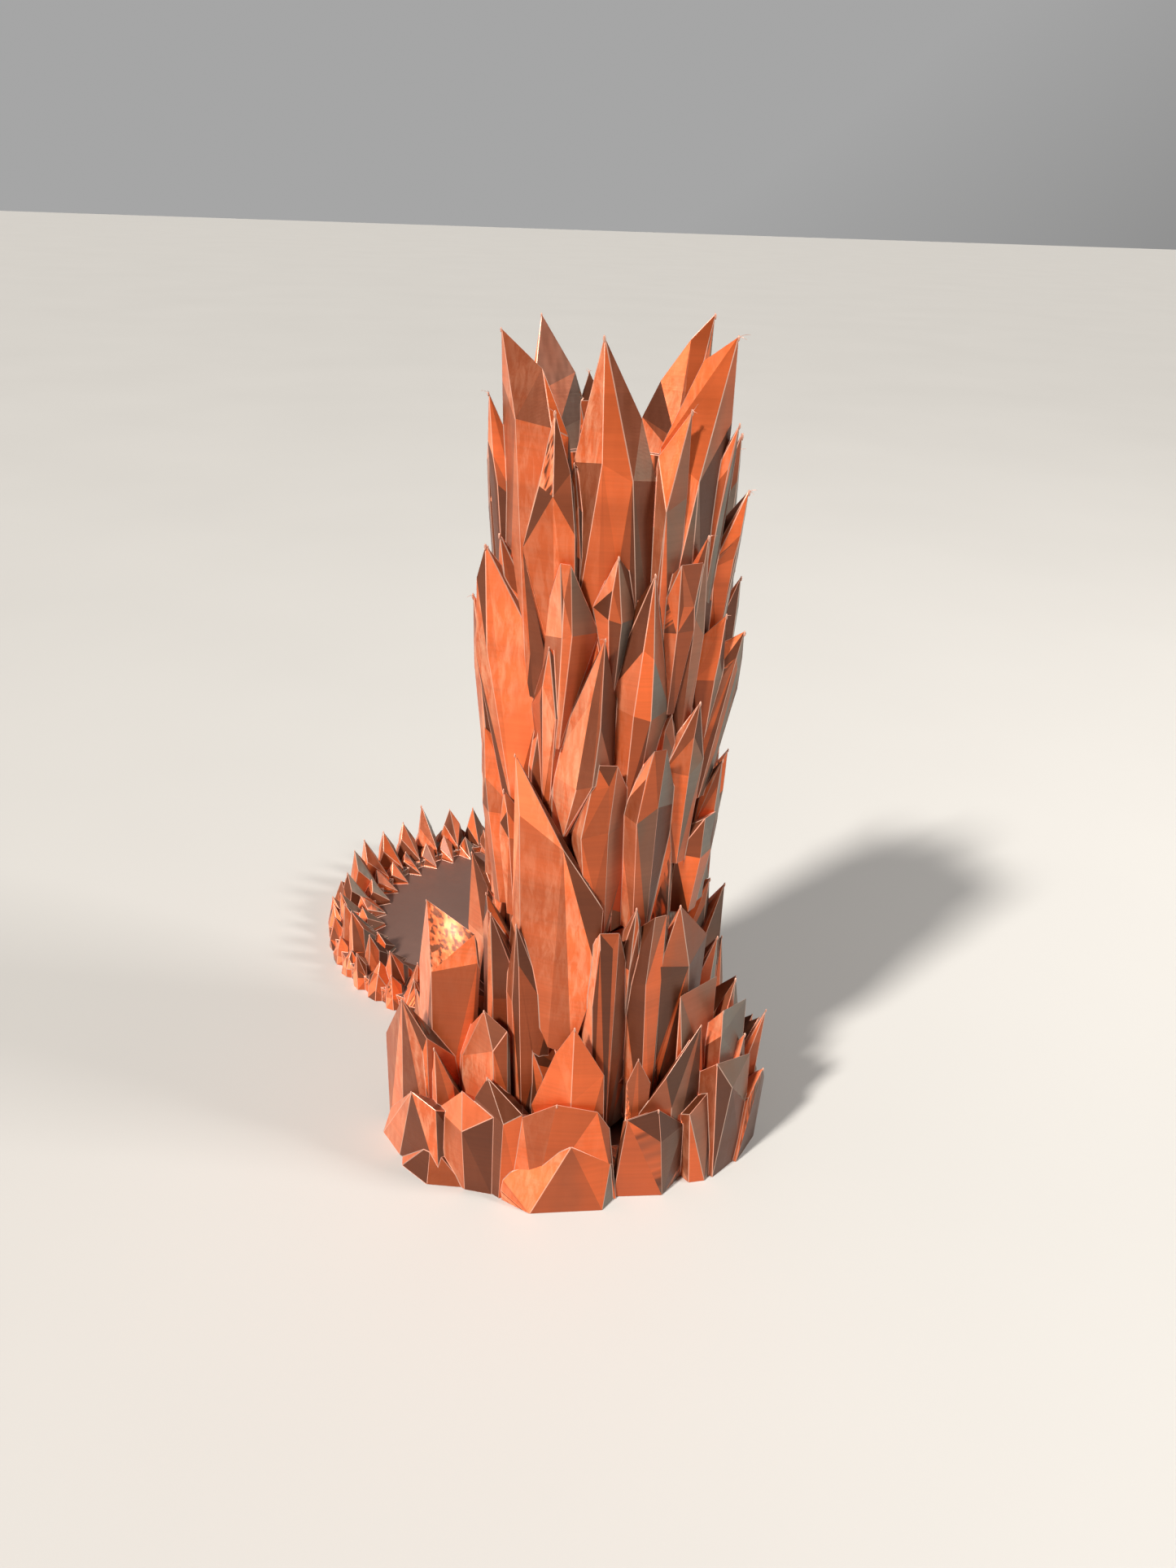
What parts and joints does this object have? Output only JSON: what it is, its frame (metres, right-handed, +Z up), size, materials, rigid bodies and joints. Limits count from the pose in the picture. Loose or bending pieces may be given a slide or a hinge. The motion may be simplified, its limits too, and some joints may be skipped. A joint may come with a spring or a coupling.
{
  "type": "dice tower",
  "caption": "Tall dice tower clad in faceted crystals, standing in a crystal plinth, with a round tray that catches the dice.",
  "frame": {"origin": "on the tower's axis, on the underside of the plinth, at table level", "axes": "+Z up along the tower, -Y towards the tray that the dice roll out into, +X to the left seen from behind the tower"},
  "size_m": [0.1586, 0.2545, 0.272],
  "materials": {
    "silk_filament": "glossy two-colour silk filament, copper on one side and grey-brown on the other, with fine print layers",
    "dowel_steel": "bright ground steel",
    "magnet_plating": "bright nickel plating"
  },
  "bodies": {
    "base": {"plinth": "silk_filament", "exit_chute": "silk_filament", "plinth_magnets": "magnet_plating"},
    "tower": {"lower_section": "silk_filament", "middle_section": "silk_filament", "crown_section": "silk_filament", "upper_ramp": "silk_filament", "middle_ramp": "silk_filament", "lower_ramp": "silk_filament", "lower_dowels": "dowel_steel", "upper_dowels": "dowel_steel"},
    "tray": {"dice_tray": "silk_filament", "tray_magnets": "magnet_plating"}
  },
  "joints": [
    {"name": "tower_lift", "type": "slide", "parent": "base", "child": "tower", "axis": [0, 0, 1], "range_m": [0, 0.095]},
    {"name": "tray_pull", "type": "slide", "parent": "base", "child": "tray", "axis": [0, -1, 0], "range_m": [0, 0.08]}
  ]
}
